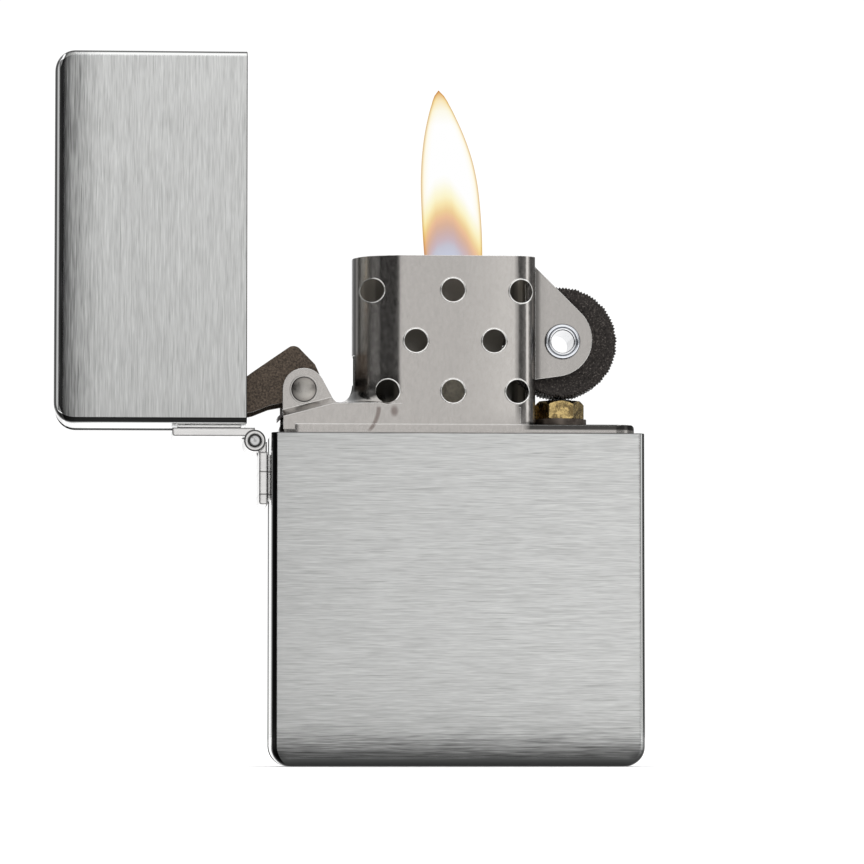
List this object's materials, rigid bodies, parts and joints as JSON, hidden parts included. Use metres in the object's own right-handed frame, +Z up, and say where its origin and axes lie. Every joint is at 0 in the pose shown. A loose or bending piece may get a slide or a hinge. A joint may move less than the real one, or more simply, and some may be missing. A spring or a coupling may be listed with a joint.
{
  "type": "pocket lighter",
  "caption": "Windproof petrol pocket lighter: brushed metal case with a side-hinged lid, perforated chimney insert, flint wheel, snap cam and wick.",
  "frame": {"origin": "centre of the case's flat bottom face", "axes": "+Z up, +X to the right with the hinge on the left, +Y to the back"},
  "size_m": [0.0602, 0.0126, 0.0729],
  "materials": {
    "brushed_chrome": "brushed across, satin",
    "plain_chrome": "satin",
    "pin_steel": "polished",
    "stainless": "satin",
    "plate_steel": "tarnished",
    "dark_steel": "heat-darkened",
    "rivet_steel": "polished",
    "spring_steel": "blued",
    "wheel_steel": "black, toothed",
    "brass": "tarnished",
    "flint_alloy": "rough",
    "brass_tube": "plain",
    "spring_wire": "drawn wire",
    "wick_cord": "braided",
    "copper": "drawn copper wire",
    "cotton": "loose fibre",
    "felt": "pressed felt"
  },
  "bodies": {
    "case": {"case_bottom": "brushed_chrome", "hinge_leaf_lower": "plain_chrome", "hinge_pin": "pin_steel", "insert_shell": "stainless", "tank_plate": "plate_steel", "cam_rivet": "rivet_steel", "cam_spring": "spring_steel", "cam_spring_rivet": "rivet_steel", "wheel_rivet": "rivet_steel", "flint_collar": "brass", "collar_washer": "plate_steel", "flint_tube": "brass_tube", "flint_spring": "spring_wire", "flint_screw": "brass_tube", "wick": "wick_cord", "wick_wire": "copper", "cotton_wadding": "cotton", "felt_pad": "felt"},
    "lid": {"case_lid": "brushed_chrome", "hinge_leaf_upper": "plain_chrome"},
    "cam": {"cam": "dark_steel"},
    "wheel": {"flint_wheel": "wheel_steel"},
    "flint": {"flint": "flint_alloy", "spring_plunger": "brass_tube"}
  },
  "joints": [
    {"name": "lid_hinge", "type": "hinge", "parent": "case", "child": "lid", "pos_m": [-0.0207, 0, 0.03315], "axis": [0, 1, 0], "range_deg": [0, 90]},
    {"name": "cam_pivot", "type": "hinge", "parent": "case", "child": "cam", "pos_m": [-0.0157, 0, 0.03842], "axis": [0, 1, 0], "range_deg": [0, 90]},
    {"name": "wheel_spin", "type": "hinge", "parent": "case", "child": "wheel", "pos_m": [0.01085, 0, 0.0435], "axis": [0, 1, 0], "continuous": true},
    {"name": "flint_slide", "type": "slide", "parent": "case", "child": "flint", "axis": [0, 0, 1], "range_m": [-0.0015, 0], "stiffness_N_per_m": 30, "springref_m": 0.002, "deforming": ["flint_spring"]}
  ],
  "couplings": [
    {"joint": "cam_pivot", "follows": "lid_hinge", "ratio": 1}
  ]
}
